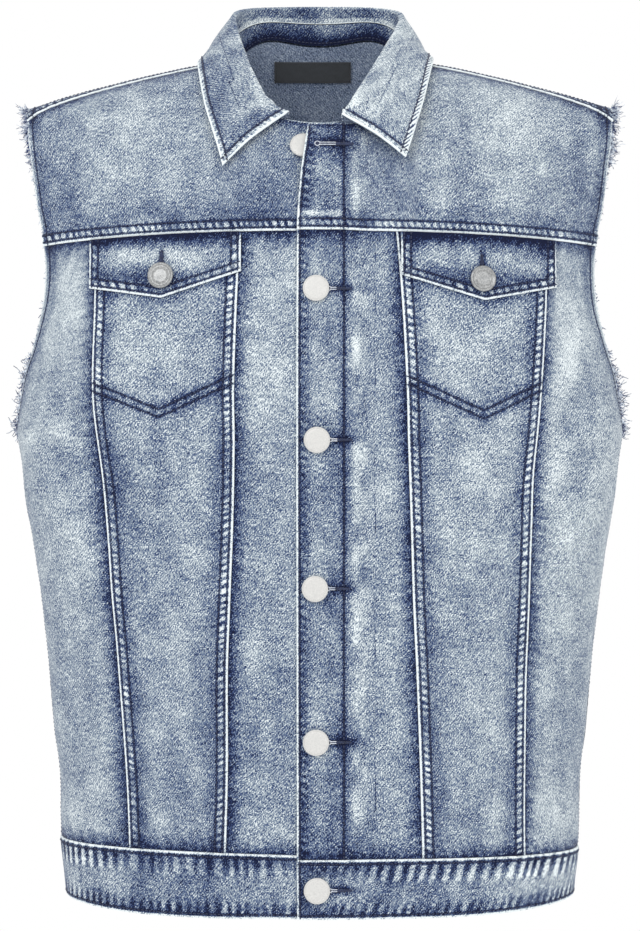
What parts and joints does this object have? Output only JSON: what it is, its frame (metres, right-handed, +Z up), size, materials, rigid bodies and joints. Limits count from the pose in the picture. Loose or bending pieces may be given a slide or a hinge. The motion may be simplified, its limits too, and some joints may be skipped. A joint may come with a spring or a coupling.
{
  "type": "denim vest",
  "caption": "Sleeveless denim vest with a turned-down collar, button front, flap pockets, waistband and raw, fringed armholes, filled out as if worn, with no wearer.",
  "frame": {"origin": "in the middle of the neck opening, level with the inner ends of the shoulders and under the shoulder ridge, where the wearer's shoulders hold it", "axes": "+Z up, -Y out of the front, +X to the viewer's right (the wearer's left)"},
  "size_m": [0.4802, 0.2286, 0.714],
  "materials": {
    "denim": "washed cotton twill",
    "cotton_thread": "loose cotton thread",
    "label": "plain woven tape",
    "front_button": "pale satin",
    "flap_button": "weathered"
  },
  "bodies": {
    "root": {"front_yoke_left": "denim", "front_yoke_right": "denim", "front_centre_left": "denim", "front_centre_right": "denim", "front_middle_left": "denim", "front_middle_right": "denim", "front_side_left": "denim", "front_side_right": "denim", "back_yoke": "denim", "back_centre": "denim", "back_side_left": "denim", "back_side_right": "denim", "waistband": "denim", "collar_stand": "denim", "collar_leaf": "denim", "pocket_flap_left": "denim", "pocket_flap_right": "denim", "front_button_1": "front_button", "front_button_2": "front_button", "front_button_3": "front_button", "front_button_4": "front_button", "front_button_5": "front_button", "front_button_6": "front_button", "flap_button_left": "flap_button", "flap_button_right": "flap_button", "neck_label": "label", "armhole_fringe_left": "cotton_thread", "armhole_fringe_right": "cotton_thread"}
  },
  "joints": []
}
